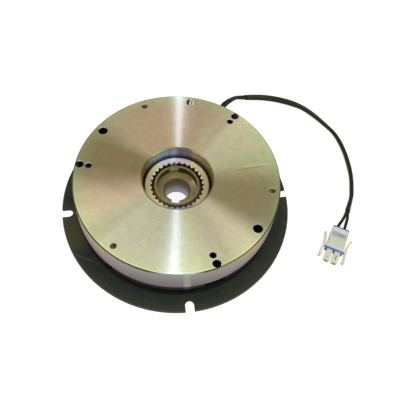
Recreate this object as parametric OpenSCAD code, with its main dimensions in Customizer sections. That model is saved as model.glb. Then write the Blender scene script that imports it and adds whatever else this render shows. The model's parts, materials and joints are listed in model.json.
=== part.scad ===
// Spring-applied electromagnetic disc brake, standing on its flange with the magnet body on top.
// The origin is the centre of the flange's underside and +Z is the shaft's axis. Millimetres.
// Without current the springs press the armature plate, the lined rotor and the flange together.
// The coil lifts the armature plate through the air gap and sets the rotor free.

/* [Stack] */
// Thickness of the flange plate, which is the fixed friction face
flange_t = 3; // [2.5:0.5:6]
// Thickness of one friction lining
lining_t = 3.2; // [2.8:0.1:4.5]
// Thickness of the rotor's carrier disc between the linings
carrier_t = 2.3; // [1.5:0.1:4]
// Thickness of the armature plate
armature_t = 7; // [5:0.5:10]
// Air gap between the armature plate and the magnet body while the brake is on
air_gap = 0.3; // [0.2:0.05:0.8]

/* [Magnet body] */
// Outside diameter of the magnet body
magnet_d = 160; // [140:1:172]
// Height of the magnet body
magnet_h = 25; // [23:0.5:35]
// Diameter of the bore through the magnet body
magnet_bore_d = 54.6; // [53:0.2:60]
// Chamfer round the top rim
rim_chamfer = 0.8; // [0.5:0.1:2.5]
// Chamfer on the other turned edges
edge_chamfer = 0.6; // [0.2:0.1:1]

/* [Coil] */
// Width of the coil groove
groove_w = 19; // [15:0.5:20]
// Width of the ring of iron outside the coil groove
outer_ring_w = 23; // [22:0.5:27]
// Depth of the coil groove from the pole faces
groove_depth = 17; // [15:0.5:18]
// Wall thickness of the bobbin
bobbin_wall = 1.3; // [0.8:0.1:2]
// Gap round the bobbin in its groove
bobbin_clearance = 0.2; // [0.1:0.05:0.5]
// Thickness of the resin that closes the groove
potting_t = 1.6; // [1:0.1:3]
// Depth of winding left free under the bobbin's edges
winding_inset = 0.9; // [0.3:0.1:2]

/* [Holes in the magnet body] */
// Directions of the three hole pairs
pair_angles = [45, 165, 285];
// Distance from the rim to the middle of the fixing holes, the outer hole of each pair
fixing_inset = 3.8; // [3.8:0.1:5]
// Diameter of the fixing holes
fixing_hole_d = 6.5; // [5.5:0.1:6.5]
// Distance from the rim to the middle of the tapped holes, the inner hole of each pair
tapped_inset = 10.7; // [10.5:0.1:12]
// Diameter of the tapped holes
tapped_hole_d = 5.3; // [4:0.1:5.5]
// Directions of the two hand release holes
release_angles = [137.5, 317.5];
// Distance from the rim to the middle of the hand release holes
release_inset = 6.6; // [6:0.1:7]
// Diameter of the hand release holes
release_hole_d = 7.6; // [6.6:0.1:8]
// Core diameter of the threads for the release screws in the armature plate
release_core_d = 5; // [4:0.1:6]

/* [Earth screw] */
// Direction of the slotted earth screw
earth_angle = 75; // [70:1:80]
// Distance from the rim to the middle of the earth screw
earth_inset = 5.9; // [5.5:0.1:6.5]
// Diameter of its head
earth_head_d = 6.8; // [5:0.1:7.5]
// Height of its head
earth_head_h = 2; // [1.5:0.1:3]
// Diameter of its thread
earth_thread_d = 4; // [3:0.5:5]
// Length of its thread
earth_thread_l = 6; // [4:0.5:7]
// Width of its slot
earth_slot_w = 1; // [0.6:0.1:1.5]

/* [Armature plate] */
// How far the armature plate's rim stands back from the magnet body's
armature_inset = 0.6; // [0.4:0.1:3]
// Diameter of its centre hole
armature_bore_d = 56; // [54:0.5:60]
// Width of the wide notches under the hole pairs
wide_notch_w = 16; // [12:0.5:18]
// Distance from the magnet body's rim to the bottom of the wide notches
wide_notch_inset = 16.7; // [14:0.1:17.5]
// Width of the guide notches, which run on the spacer sleeves
guide_notch_w = 8; // [7:0.1:9]
// Gap between a guide notch and its sleeve, all round
guide_clearance = 0.05; // [0.02:0.01:0.1]

/* [Screws and sleeves] */
// Directions of the three flange screws and their spacer sleeves
screw_angles = [-15, 105, 225];
// Distance from the magnet body's rim to the middle of the flange screws
screw_inset = 6.4; // [6:0.1:7]
// Thread diameter of the flange screws
screw_d = 5; // [4:0.1:5.5]
// Diameter of their countersunk heads
screw_head_d = 9.6; // [8.4:0.1:10]
// Gap round the thread and in the sleeve
screw_clearance = 0.05; // [0.02:0.01:0.1]
// How far the screws' ends stay below the magnet body's top
screw_recess = 1.6; // [0.5:0.1:4]
// Width across flats of the hexagon sockets
socket_af = 3; // [2:0.5:3.5]

/* [Springs] */
// Directions of the springs
spring_angles = [15, 75, 135, 195, 255, 315];
// Wall between the coil groove and the spring pockets
pocket_wall = 1.9; // [1.6:0.1:2.4]
// Diameter of the spring pockets
pocket_d = 9.2; // [8.6:0.1:9.4]
// Depth of the spring pockets
pocket_depth = 14; // [10:0.5:16]
// Outside diameter of the springs
spring_d = 8.2; // [7:0.1:8.4]
// Diameter of the spring wire
spring_wire_d = 1.3; // [0.8:0.1:1.6]
// Number of turns of each spring
spring_turns = 5; // [3:1:6]

/* [Rotor] */
// How far the linings' rim stays inside the bottom of the armature plate's wide notches
lining_inset = 2.3; // [2.3:0.1:7]
// How far the carrier disc stands out beyond the linings
carrier_proud = 0.5; // [0:0.1:1]
// Inside diameter of the linings
lining_in_d = 76; // [72:0.5:84]
// Outside diameter of the toothed collar
collar_d = 51; // [48:0.2:52]
// Height of the toothed collar
collar_h = 28.6; // [24:0.2:32]
// Diameter of the collar's foot
foot_d = 69; // [66:0.5:71]
// Thickness of the collar's foot
foot_t = 1.8; // [1.2:0.1:1.9]
// Gap between the collar and the carrier disc's hole
carrier_clearance = 0.1; // [0.05:0.01:0.2]
// Number of rivets
rivets = 6; // [4:1:8]
// Pitch circle diameter of the rivets
rivet_pcd = 60; // [58.5:0.5:61]
// Diameter of the rivet shanks
rivet_d = 3; // [2:0.1:3.4]
// Diameter of the rivet heads
rivet_head_d = 5.2; // [4:0.1:6]
// Height of the rivet heads
rivet_head_h = 0.6; // [0.3:0.1:0.8]

/* [Toothing] */
// Number of teeth on the hub and in the collar
teeth = 30; // [24:1:36]
// Radius of the pitch circle
pitch_r = 20.6; // [20.4:0.1:20.8]
// Pressure angle of the involute flanks
pressure_angle = 30; // [25:1:30]
// Height of a hub tooth above the pitch circle
addendum = 0.45; // [0.3:0.05:0.5]
// Depth of a hub tooth space below the pitch circle
dedendum = 0.85; // [0.7:0.05:1]
// Gap between tooth tips and the roots that they face
tip_clearance = 0.25; // [0.1:0.05:0.3]
// Gap between the flanks, on each side of a tooth
flank_clearance = 0.06; // [0.02:0.01:0.1]
// Direction of the first hub tooth
tooth_phase = 6.5; // [0:0.5:12]

/* [Hub] */
// Height of the hub
hub_h = 29; // [25:0.5:32]
// Gap under the hub, down to the flange's top face
hub_gap = 1; // [0.5:0.5:3]
// Diameter of the hub's plain spigot above the teeth
spigot_d = 36.6; // [35:0.2:38]
// Height of the spigot
spigot_h = 3.4; // [2:0.1:6]
// Chamfer round the spigot
spigot_chamfer = 1; // [0.3:0.1:1.4]
// Chamfer on the ends of the teeth
tooth_chamfer = 0.9; // [0.3:0.1:1.2]
// Diameter of the recess in the hub's end
recess_d = 32.4; // [28:0.2:33]
// Depth of the recess
recess_depth = 8; // [4:0.5:12]
// Diameter of the shaft bore
bore_d = 20; // [14:0.5:24]
// Width of the keyway
keyway_w = 6; // [5:0.5:8]
// Depth of the keyway beyond the bore
keyway_depth = 2.8; // [2:0.1:3.3]
// Direction of the keyway
keyway_angle = -103; // [-180:1:180]

/* [Flange plate] */
// Outside diameter of the flange plate
flange_d = 187; // [180:0.5:200]
// Diameter of its centre hole
flange_bore_d = 45; // [40:0.5:50]
// Width of the open slots in its rim
slot_w = 7; // [5:0.5:9]
// Radius from the axis to the bottom of the slots
slot_r = 84.8; // [82:0.2:88]

/* [Lead] */
// Direction in which the lead leaves the magnet body
lead_angle = 57; // [54:1:60]
// Height of the lead's hole above the magnet body's underside
lead_rise = 9; // [7:0.5:11]
// Diameter of the lead's hole
lead_hole_d = 9; // [8.5:0.1:10]
// Depth of the flat round the lead's hole
lead_flat = 0.5; // [0.3:0.1:1]
// Diameter of the grommet's collar
grommet_d = 11.6; // [10.5:0.1:12]
// Thickness of the grommet's collar
grommet_t = 2; // [1:0.1:3]
// Length of the grommet's plug
grommet_plug_l = 9; // [5:0.5:12]
// Outside diameter of one wire with its insulation
wire_d = 2.5; // [2.1:0.1:2.6]
// Distance from the lead's middle to each wire at the grommet
wire_offset = 1.35; // [1.35:0.05:1.5]
// Gap between the wires and the sleeve
sleeve_clearance = 0.12; // [0.12:0.01:0.2]
// Wall thickness of the sleeve
sleeve_wall = 0.3; // [0.2:0.05:0.4]

/* [Connector] */
// Length of the connector's body
body_l = 19.3; // [18:0.1:24]
// Width of the body
body_w = 14.2; // [13.4:0.1:14.6]
// Height of the body, which lies flat
body_h = 6.4; // [6.2:0.1:8]
// Distance between the two contacts
contact_pitch = 6.35; // [6:0.05:6.5]
// Outside width of a contact tower
tower_w = 4.75; // [4.4:0.05:4.9]
// Outside height of a contact tower
tower_h = 4.4; // [4.2:0.1:4.6]
// Length of the towers beyond the body
tower_l = 11.6; // [10:0.2:15]
// Bore through the towers
tower_bore_d = 3.3; // [3:0.1:3.4]
// Diameter of the contact sleeves
contact_d = 3; // [2.6:0.1:3]
// Length of the pocket for the wire seal
seal_pocket_l = 9; // [6:0.5:10]
// Gap round the wire seal in its pocket
seal_clearance = 0.15; // [0.1:0.05:0.3]
// Thickness of the wire seal's collar
seal_collar_t = 1.4; // [0.8:0.1:1.8]
// Thickness of the front seal
front_seal_t = 1.6; // [1:0.1:2]
// Thickness of a latch arm
latch_t = 1.7; // [1.4:0.1:2]
// Height of a latch arm
latch_h = 3.4; // [3:0.1:4.5]

/* [Hidden] */
$fn = 96;
// a cut runs this far past the face that it opens
past = 1;

// heights of the faces in the stack
lining_lower_z = flange_t;
carrier_z = lining_lower_z + lining_t;
lining_upper_z = carrier_z + carrier_t;
armature_z = lining_upper_z + lining_t;
armature_top = armature_z + armature_t;
magnet_z = armature_top + air_gap;
magnet_top = magnet_z + magnet_h;
groove_top = magnet_z + groove_depth;
groove_out_d = magnet_d - 2 * outer_ring_w;
groove_in_d = groove_out_d - 2 * groove_w;
pocket_top = magnet_z + pocket_depth;
hub_z = flange_t + hub_gap;
hub_top = hub_z + hub_h;
foot_z = carrier_z - foot_t;

// pitch circles of the holes, screws and springs, which follow the magnet body's rim and its groove
fixing_pcd = magnet_d - 2 * fixing_inset;
tapped_pcd = magnet_d - 2 * tapped_inset;
release_pcd = magnet_d - 2 * release_inset;
earth_pcd = magnet_d - 2 * earth_inset;
screw_pcd = magnet_d - 2 * screw_inset;
spring_pcd = groove_out_d + 2 * pocket_wall + pocket_d;

// the armature plate and the rotor follow the rim too
armature_d = magnet_d - 2 * armature_inset;
wide_notch_r = magnet_d / 2 - wide_notch_inset;
lining_out_d = 2 * (wide_notch_r - lining_inset);
carrier_d = lining_out_d + 2 * carrier_proud;

// sides of a swept wire and of the coiled spring wire
wire_sides = 8;
spring_sides = 6;
spring_steps = 10;

// where the connector lies, at the middle of its wire entry, and the way it points
connector_at = [131.7, -40.1];
connector_turn = -121.3;
contact_z = body_h / 2;

// the lead's route, by hand: x, y, z, the distance from its middle to each wire, and how far the two
// wires are turned about the lead from side by side; where it bends on the floor they lie edge up
lead_z = magnet_z + lead_rise;
grommet_face_r = magnet_d / 2 - lead_flat + grommet_t;
sleeve_offset = wire_d / 2 + 0.03;
lead_start = [for (r = [grommet_face_r, grommet_face_r + 2, grommet_face_r + 4.5])
    [r * cos(lead_angle), r * sin(lead_angle), lead_z, wire_offset, 0]];
lead_middle = [
    [50, 79, 27, sleeve_offset, 0], [56.5, 86, 24, sleeve_offset, -10], [64, 92.5, 19.5, sleeve_offset, -25],
    [74, 96.5, 14, sleeve_offset, -10], [87, 100, 8.5, sleeve_offset, 0], [98, 101, 5, sleeve_offset, 5],
    [108.5, 99.5, 3, sleeve_offset, 5], [119.5, 95.5, 2, sleeve_offset, 0], [129, 89, 2.2, sleeve_offset, -22],
    [137, 80, 2.4, sleeve_offset, -30], [144.5, 69, 2.6, sleeve_offset, -42],
    [151, 57.5, 2.8, sleeve_offset, -60], [154, 46.5, 3, sleeve_offset, -72],
    [155.5, 34.5, 3, sleeve_offset, -76], [155.5, 21, 3, sleeve_offset, -80],
    [154.5, 10, 3, sleeve_offset, -78], [152, -1, 3, sleeve_offset, -82], [149, -10.5, 3, sleeve_offset, -80],
    [142.5, -23, 2.8, sleeve_offset, -55], [139, -29.5, 3, 1.6, -15]];
lead_end = [for (p = [[4.5, 2.6], [seal_collar_t, contact_pitch / 2]])
    [connector_at[0] - p[0] * cos(connector_turn), connector_at[1] - p[0] * sin(connector_turn),
     contact_z, p[1], 0]];
lead_points = concat(lead_start, lead_middle, lead_end);
// the sleeve runs between these two points of the route
sleeve_first = 6;
sleeve_last = 21;
// the route is divided more finely up to this point, where it bends most
fine_until = 6;

// smooth curve through four neighbouring points, t from 0 at b to 1 at c
function curve_point(a, b, c, d, t) =
    (2 * b + (c - a) * t + (2 * a - 5 * b + 4 * c - d) * t * t + (3 * b - a - 3 * c + d) * t * t * t) / 2;
function route_point(i) = lead_points[min(max(i, 0), len(lead_points) - 1)];
// the curve's own points between two points of the route, both ends included
function route(first, last) = concat(
    [for (i = [first : last - 1], k = [0 : (i < fine_until ? 1 : 0)])
        curve_point(route_point(i - 1), route_point(i), route_point(i + 1), route_point(i + 2),
                    k / (i < fine_until ? 2 : 1))],
    [lead_points[last]]);

function place_of(p) = [p[0], p[1], p[2]];
function unit(v) = v / norm(v);
// the way the route runs at point i; it leaves and enters the fittings at right angles to them
function heading(path, i) =
    unit(place_of(path[min(i + 1, len(path) - 1)]) - place_of(path[max(i - 1, 0)]));
// direction from the lead's middle to its left wire: level, then turned about the lead
function aside(way, turn) = let (level = unit([-way[1], way[0], 0]))
    level * cos(turn) + cross(way, level) * sin(turn);

// rings of points round the route for one wire; side is 1 for the left wire and -1 for the right
function wire_rings(path, side) = [for (i = [0 : len(path) - 1])
    let (way = heading(path, i), left = aside(way, path[i][4]), up = cross(way, left))
    [for (k = [0 : wire_sides - 1]) let (a = 360 * k / wire_sides)
        place_of(path[i]) + left * (side * path[i][3] + wire_d / 2 * cos(a)) + up * wire_d / 2 * sin(a)]];

// rings of points round both wires: two half circles joined by flats, turned with them
function sleeve_rings(path, radius) = [for (i = [0 : len(path) - 1])
    let (way = heading(path, i), left = aside(way, path[i][4]), up = cross(way, left))
    [for (side = [1, -1], k = [-2 : 2]) let (a = 45 * k + (side > 0 ? 0 : 180))
        place_of(path[i]) + left * (side * sleeve_offset + radius * cos(a)) + up * radius * sin(a)]];

// rings of points round a spring's wire
function spring_rings(mean_r, height, wire_r) = let (steps = spring_turns * spring_steps)
    [for (i = [0 : steps])
        let (a = 360 * i / spring_steps, z = wire_r + (height - 2 * wire_r) * i / steps)
        [for (k = [0 : spring_sides - 1]) let (b = 360 * k / spring_sides)
            [(mean_r + wire_r * cos(b)) * cos(a), (mean_r + wire_r * cos(b)) * sin(a), z + wire_r * sin(b)]]];

// closed solid through rings of points, with flat ends
module loft(rings) {
    n = len(rings[0]);
    last = (len(rings) - 1) * n;
    polyhedron(
        points = [for (ring = rings) each ring],
        faces = concat(
            [[for (k = [0 : n - 1]) k]],
            [[for (k = [n - 1 : -1 : 0]) last + k]],
            [for (i = [0 : len(rings) - 2], k = [0 : n - 1]) let (next = (k + 1) % n)
                [i * n + k, (i + 1) * n + k, (i + 1) * n + next, i * n + next]]));
}

// closed solid between outer and inner rings of points, open right through
module hollow_loft(outer, inner) {
    n = len(outer[0]);
    rows = len(outer);
    skip = rows * n;
    polyhedron(
        points = concat([for (ring = outer) each ring], [for (ring = inner) each ring]),
        faces = [for (i = [0 : rows - 1], k = [0 : n - 1]) let (next = (k + 1) % n, here = i * n, row = here + n)
            each concat(
                i == 0 ? [[k, next, skip + next, skip + k]] : [],
                i == rows - 1 ? [[here + next, here + k, skip + here + k, skip + here + next]] : [],
                i < rows - 1 ? [[here + k, row + k, row + next, here + next],
                                [skip + here + next, skip + row + next, skip + row + k, skip + here + k]] : [])]);
}

// involute toothing: angles in degrees, radii in millimetres
base_r = pitch_r * cos(pressure_angle);
function involute(angle) = tan(angle) * 180 / PI - angle;
function half_tooth(r) = 90 / teeth + involute(pressure_angle) - involute(acos(base_r / r));
flank_steps = 3;
// outline of a toothed shape whose teeth are thinner by gap on each flank
function toothed_outline(root_r, tip_r, gap) = let (thin = gap / pitch_r * 180 / PI)
    [for (tooth = [0 : teeth - 1]) let (middle = tooth_phase + 360 * tooth / teeth)
        each [for (flank = [-1, 1], step = [0 : flank_steps])
            let (share = (flank < 0 ? step : flank_steps - step) / flank_steps,
                 r = root_r + (tip_r - root_r) * share,
                 a = middle + flank * (half_tooth(r) - thin))
            [r * cos(a), r * sin(a)]]];
hub_tip_r = pitch_r + addendum;
hub_root_r = pitch_r - dedendum;

// copies turned to each of the given directions
module round_at(angles) for (a = angles) rotate(a) children();

module ring(d_out, d_in, h) difference() {
    cylinder(d = d_out, h = h);
    translate([0, 0, -past]) cylinder(d = d_in, h = h + 2 * past);
}

// hole along Z between two heights, on a pitch circle
module hole(pcd, d, from_z, to_z) translate([pcd / 2, 0, from_z]) cylinder(d = d, h = to_z - from_z);

// a slot with a round bottom, open outwards; r is the radius to its bottom
module open_slot(r, w, reach, from_z, to_z) translate([0, 0, from_z]) linear_extrude(to_z - from_z) {
    translate([r + w / 2, 0]) circle(d = w);
    translate([r + w / 2, -w / 2]) square([reach, w]);
}

module magnet_body() color([0.66, 0.67, 0.48]) difference() {
    rotate_extrude() polygon([
        [magnet_bore_d / 2 + edge_chamfer, magnet_top], [magnet_d / 2 - rim_chamfer, magnet_top],
        [magnet_d / 2, magnet_top - rim_chamfer], [magnet_d / 2, magnet_z + edge_chamfer],
        [magnet_d / 2 - edge_chamfer, magnet_z], [groove_out_d / 2, magnet_z],
        [groove_out_d / 2, groove_top], [groove_in_d / 2, groove_top], [groove_in_d / 2, magnet_z],
        [magnet_bore_d / 2 + edge_chamfer, magnet_z], [magnet_bore_d / 2, magnet_z + edge_chamfer],
        [magnet_bore_d / 2, magnet_top - edge_chamfer]]);
    round_at(pair_angles) {
        hole(fixing_pcd, fixing_hole_d, magnet_z - past, magnet_top + past);
        hole(tapped_pcd, tapped_hole_d, magnet_z - past, magnet_top + past);
    }
    round_at(release_angles) hole(release_pcd, release_hole_d, magnet_z - past, magnet_top + past);
    round_at(screw_angles) hole(screw_pcd, screw_d + 2 * screw_clearance, magnet_z - past, magnet_top + past);
    round_at(spring_angles) hole(spring_pcd, pocket_d, magnet_z - past, pocket_top);
    rotate(earth_angle) {
        hole(earth_pcd, earth_thread_d + 2 * screw_clearance,
             magnet_top - earth_head_h - earth_thread_l, magnet_top);
        hole(earth_pcd, earth_head_d + 4 * screw_clearance, magnet_top - earth_head_h, magnet_top + past);
    }
    lead_bore(groove_out_d / 2 - past, magnet_d / 2, lead_hole_d);
    lead_bore(magnet_d / 2 - lead_flat, magnet_d / 2 + past, grommet_d + 0.8);
}

// a round cut or plug along the lead's way out, between two radii
module lead_bore(from_r, to_r, d) rotate(lead_angle) translate([from_r, 0, lead_z])
    rotate([0, 90, 0]) cylinder(d = d, h = to_r - from_r);

// the two wires' own places across the lead's way out
module wire_places() for (side = [1, -1]) rotate(lead_angle) translate([0, side * wire_offset, 0])
    rotate(-lead_angle) children();

bobbin_in_r = groove_in_d / 2 + bobbin_clearance;
bobbin_out_r = groove_out_d / 2 - bobbin_clearance;
bobbin_z = magnet_z + potting_t;
bobbin_top = groove_top - bobbin_clearance;
module coil_bobbin() color([0.16, 0.16, 0.17]) rotate_extrude() polygon([
    [bobbin_in_r, bobbin_z], [bobbin_out_r, bobbin_z], [bobbin_out_r, bobbin_z + bobbin_wall],
    [bobbin_in_r + bobbin_wall, bobbin_z + bobbin_wall], [bobbin_in_r + bobbin_wall, bobbin_top - bobbin_wall],
    [bobbin_out_r, bobbin_top - bobbin_wall], [bobbin_out_r, bobbin_top], [bobbin_in_r, bobbin_top]]);

winding_r = bobbin_out_r - winding_inset;
module coil_winding() color([0.72, 0.4, 0.2]) translate([0, 0, bobbin_z + bobbin_wall])
    ring(2 * winding_r, 2 * (bobbin_in_r + bobbin_wall), bobbin_top - bobbin_z - 2 * bobbin_wall);

module coil_potting() color([0.12, 0.12, 0.12]) translate([0, 0, magnet_z])
    ring(groove_out_d, groove_in_d, potting_t);

// the wires' fixed ends, from the winding to just short of the lead's wires
tail_gap = 0.05;
module coil_tails() color([0.08, 0.08, 0.07]) wire_places()
    lead_bore(winding_r + tail_gap, grommet_face_r - tail_gap, wire_d);

module lead_grommet() color([0.07, 0.07, 0.07]) difference() {
    union() {
        lead_bore(magnet_d / 2 - lead_flat - grommet_plug_l, magnet_d / 2 - lead_flat, lead_hole_d - 0.1);
        lead_bore(magnet_d / 2 - lead_flat, grommet_face_r, grommet_d);
    }
    wire_places() lead_bore(magnet_d / 2 - lead_flat - grommet_plug_l - past, grommet_face_r + past, wire_d + 0.1);
}

module compression_springs() color([0.45, 0.46, 0.48]) round_at(spring_angles)
    translate([spring_pcd / 2, 0, armature_top])
        loft(spring_rings((spring_d - spring_wire_d) / 2, air_gap + pocket_depth, spring_wire_d / 2));

module armature_plate() color([0.3, 0.31, 0.27]) difference() {
    translate([0, 0, armature_z]) rotate_extrude() polygon([
        [armature_bore_d / 2, 0], [armature_d / 2 - edge_chamfer, 0], [armature_d / 2, edge_chamfer],
        [armature_d / 2, armature_t - edge_chamfer], [armature_d / 2 - edge_chamfer, armature_t],
        [armature_bore_d / 2, armature_t]]);
    round_at(pair_angles) open_slot(wide_notch_r, wide_notch_w, armature_d / 2, armature_z - past, armature_top + past);
    round_at(screw_angles) open_slot(screw_pcd / 2 - guide_notch_w / 2, guide_notch_w, armature_d / 2,
                                     armature_z - past, armature_top + past);
    round_at(release_angles) hole(release_pcd, release_core_d, armature_z - past, armature_top + past);
}

sleeve_d = guide_notch_w - 2 * guide_clearance;
module spacer_sleeves() color([0.5, 0.46, 0.36]) round_at(screw_angles)
    translate([screw_pcd / 2, 0, flange_t]) ring(sleeve_d, screw_d + 2 * screw_clearance, magnet_z - flange_t);

head_h = (screw_head_d - screw_d) / 2;
head_sink = 0.1;
module flange_screws() color([0.62, 0.56, 0.38]) round_at(screw_angles) translate([screw_pcd / 2, 0, head_sink])
    difference() {
        union() {
            cylinder(d1 = screw_head_d, d2 = screw_d, h = head_h);
            cylinder(d = screw_d, h = magnet_top - screw_recess - head_sink);
        }
        translate([0, 0, -past]) cylinder(d = socket_af / cos(30), h = past + head_h * 0.7, $fn = 6);
    }

module flange_plate() color([0.17, 0.18, 0.15]) difference() {
    cylinder(d = flange_d, h = flange_t);
    translate([0, 0, -past]) cylinder(d = flange_bore_d, h = flange_t + 2 * past);
    round_at([0, 90, 180, 270]) open_slot(slot_r, slot_w, flange_d / 2, -past, flange_t + past);
    round_at(screw_angles) {
        hole(screw_pcd, screw_d + 2 * screw_clearance, -past, flange_t + past);
        translate([screw_pcd / 2, 0, -past]) cylinder(
            d1 = screw_head_d + 2 * (past + head_sink + screw_clearance), d2 = screw_d,
            h = head_h + past + head_sink + screw_clearance);
    }
}

module earth_screw() color([0.78, 0.66, 0.3]) rotate(earth_angle) translate([earth_pcd / 2, 0, magnet_top])
    difference() {
        union() {
            translate([0, 0, -earth_head_h]) cylinder(d = earth_head_d, h = earth_head_h - 0.2);
            translate([0, 0, -earth_head_h - earth_thread_l]) cylinder(d = earth_thread_d, h = earth_thread_l);
        }
        translate([-earth_head_d, -earth_slot_w / 2, -0.2 - earth_head_h / 2])
            cube([2 * earth_head_d, earth_slot_w, earth_head_h]);
    }

module lining_upper() color([0.33, 0.28, 0.22]) translate([0, 0, lining_upper_z])
    ring(lining_out_d, lining_in_d, lining_t);

module lining_lower() color([0.33, 0.28, 0.22]) translate([0, 0, lining_lower_z])
    ring(lining_out_d, lining_in_d, lining_t);

rivet_angles = [for (i = [0 : rivets - 1]) 360 * (i + 0.5) / rivets];
rivet_clearance = 0.05;
module carrier_disc() color([0.5, 0.5, 0.5]) difference() {
    translate([0, 0, carrier_z]) ring(carrier_d, collar_d + 2 * carrier_clearance, carrier_t);
    round_at(rivet_angles) hole(rivet_pcd, rivet_d + 2 * rivet_clearance, carrier_z - past, lining_upper_z + past);
}

// the sleeve with internal teeth that the hub drives, on a thin foot riveted under the carrier disc
module toothed_collar() color([0.74, 0.72, 0.66]) difference() {
    translate([0, 0, foot_z]) rotate_extrude() polygon([
        [0, 0], [foot_d / 2, 0], [foot_d / 2, foot_t], [collar_d / 2, foot_t],
        [collar_d / 2, collar_h - edge_chamfer], [collar_d / 2 - edge_chamfer, collar_h], [0, collar_h]]);
    translate([0, 0, foot_z - past]) linear_extrude(collar_h + 2 * past)
        polygon(toothed_outline(hub_root_r + tip_clearance, hub_tip_r + tip_clearance, 0));
    round_at(rivet_angles) hole(rivet_pcd, rivet_d + 2 * rivet_clearance, foot_z - past, carrier_z + past);
}

module rotor_rivets() color([0.7, 0.7, 0.7]) round_at(rivet_angles) translate([rivet_pcd / 2, 0, 0]) {
    translate([0, 0, foot_z - rivet_head_h]) cylinder(d = rivet_head_d, h = rivet_head_h);
    translate([0, 0, foot_z - rivet_head_h]) cylinder(d = rivet_d, h = lining_upper_z - foot_z + 2 * rivet_head_h);
    translate([0, 0, lining_upper_z]) cylinder(d = rivet_head_d, h = rivet_head_h);
}

tooth_h = hub_h - spigot_h;
module drive_hub() color([0.6, 0.55, 0.36]) difference() {
    union() {
        intersection() {
            translate([0, 0, hub_z]) linear_extrude(tooth_h)
                polygon(toothed_outline(hub_root_r, hub_tip_r, flank_clearance));
            translate([0, 0, hub_z]) rotate_extrude() polygon([
                [0, 0], [hub_tip_r - tooth_chamfer, 0], [hub_tip_r + past, tooth_chamfer + past],
                [hub_tip_r + past, tooth_h - tooth_chamfer - past], [hub_tip_r - tooth_chamfer, tooth_h],
                [0, tooth_h]]);
        }
        translate([0, 0, hub_z]) rotate_extrude() polygon([
            [0, past], [spigot_d / 2, past], [spigot_d / 2, hub_h - spigot_chamfer],
            [spigot_d / 2 - spigot_chamfer, hub_h], [0, hub_h]]);
    }
    translate([0, 0, hub_z - past]) cylinder(d = bore_d, h = hub_h + 2 * past);
    translate([0, 0, hub_top - recess_depth]) cylinder(d = recess_d, h = recess_depth + past);
    rotate(keyway_angle) translate([0, -keyway_w / 2, hub_z - past])
        cube([bore_d / 2 + keyway_depth, keyway_w, hub_h + 2 * past]);
}

module lead_wire_a() color([0.09, 0.09, 0.07]) loft(wire_rings(route(0, len(lead_points) - 1), 1));

module lead_wire_b() color([0.09, 0.09, 0.07]) loft(wire_rings(route(0, len(lead_points) - 1), -1));

inner_sleeve_r = wire_d / 2 + sleeve_clearance;
module lead_sleeve() color([0.13, 0.13, 0.1]) hollow_loft(
    sleeve_rings(route(sleeve_first, sleeve_last), inner_sleeve_r + sleeve_wall),
    sleeve_rings(route(sleeve_first, sleeve_last), inner_sleeve_r));

// the connector's own frame: X from the wire entry to the contact towers, Z up from the surface it lies on
module connector_frame() translate([connector_at[0], connector_at[1], 0]) rotate(connector_turn) children();

// a section drawn across the connector, drawn out along it between two stations
module drawn(from_x, to_x) translate([from_x, 0, contact_z]) rotate([90, 0, 90])
    linear_extrude(to_x - from_x) children();

module rounded_rect(w, h, r) {
    square([w - 2 * r, h], center = true);
    square([w, h - 2 * r], center = true);
    for (x = [-1, 1], y = [-1, 1]) translate([x * (w / 2 - r), y * (h / 2 - r)]) circle(r = r);
}

// sections at both contacts
module contact_places() for (side = [-1, 1]) translate([side * contact_pitch / 2, 0]) children();

shoulder_l = 3;
shoulder_out = 0.35;
seal_w = body_w - 2.4;
seal_h = body_h - 2.2;
tower_tip = body_l + tower_l;
tower_bevel = 0.6;
// a latch arm's middle line from its thumb end to its tip, X along the connector and Y across it
latch_line = [[-12.3, 3.6], [-8, 2.7], [-4.5, 2.2], [8.6, 2.8]];

// length of the bridge that joins an arm to the body's shoulder
bridge_l = 2.6;

module latch_arm() translate([body_l, body_w / 2, contact_z - latch_h / 2]) linear_extrude(latch_h) {
    polygon(concat([for (p = latch_line) p + [0, latch_t / 2]],
                   [for (i = [len(latch_line) - 1 : -1 : 0]) latch_line[i] - [0, latch_t / 2]]));
    translate(latch_line[0]) circle(d = latch_t * 1.2);
    translate(latch_line[3]) circle(d = latch_t);
    translate([latch_line[3][0] - latch_t, latch_line[3][1] - latch_t * 0.8]) square([latch_t, latch_t]);
    translate([-bridge_l, -past]) square([bridge_l - 0.4, latch_line[2][1] + past]);
}

module towers() intersection() {
    drawn(body_l - past, tower_tip) contact_places() square([tower_w, tower_h], center = true);
    linear_extrude(body_h) contact_places_on_plan() polygon([
        [0, -tower_w / 2], [tower_tip - tower_bevel, -tower_w / 2], [tower_tip, tower_bevel - tower_w / 2],
        [tower_tip, tower_w / 2 - tower_bevel], [tower_tip - tower_bevel, tower_w / 2], [0, tower_w / 2]]);
}
module contact_places_on_plan() for (side = [-1, 1]) translate([0, side * contact_pitch / 2]) children();

module connector_housing() color([0.86, 0.85, 0.74]) connector_frame() difference() {
    union() {
        drawn(0, body_l) rounded_rect(body_w, body_h, 1);
        drawn(body_l - shoulder_l, body_l) rounded_rect(body_w + 2 * shoulder_out, body_h, 0.6);
        towers();
        latch_arm();
        mirror([0, 1, 0]) latch_arm();
    }
    drawn(-past, seal_pocket_l) rounded_rect(seal_w, seal_h, 1);
    drawn(0, tower_tip + past) contact_places() circle(d = tower_bore_d);
    // lock windows in the towers' upper walls
    translate([tower_tip - 2.8, -contact_pitch / 2, contact_z]) cylinder(d = 1.1, h = tower_h);
    translate([tower_tip - 7, contact_pitch / 2 - 0.4, contact_z]) cube([4.6, 0.8, tower_h]);
}

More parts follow.
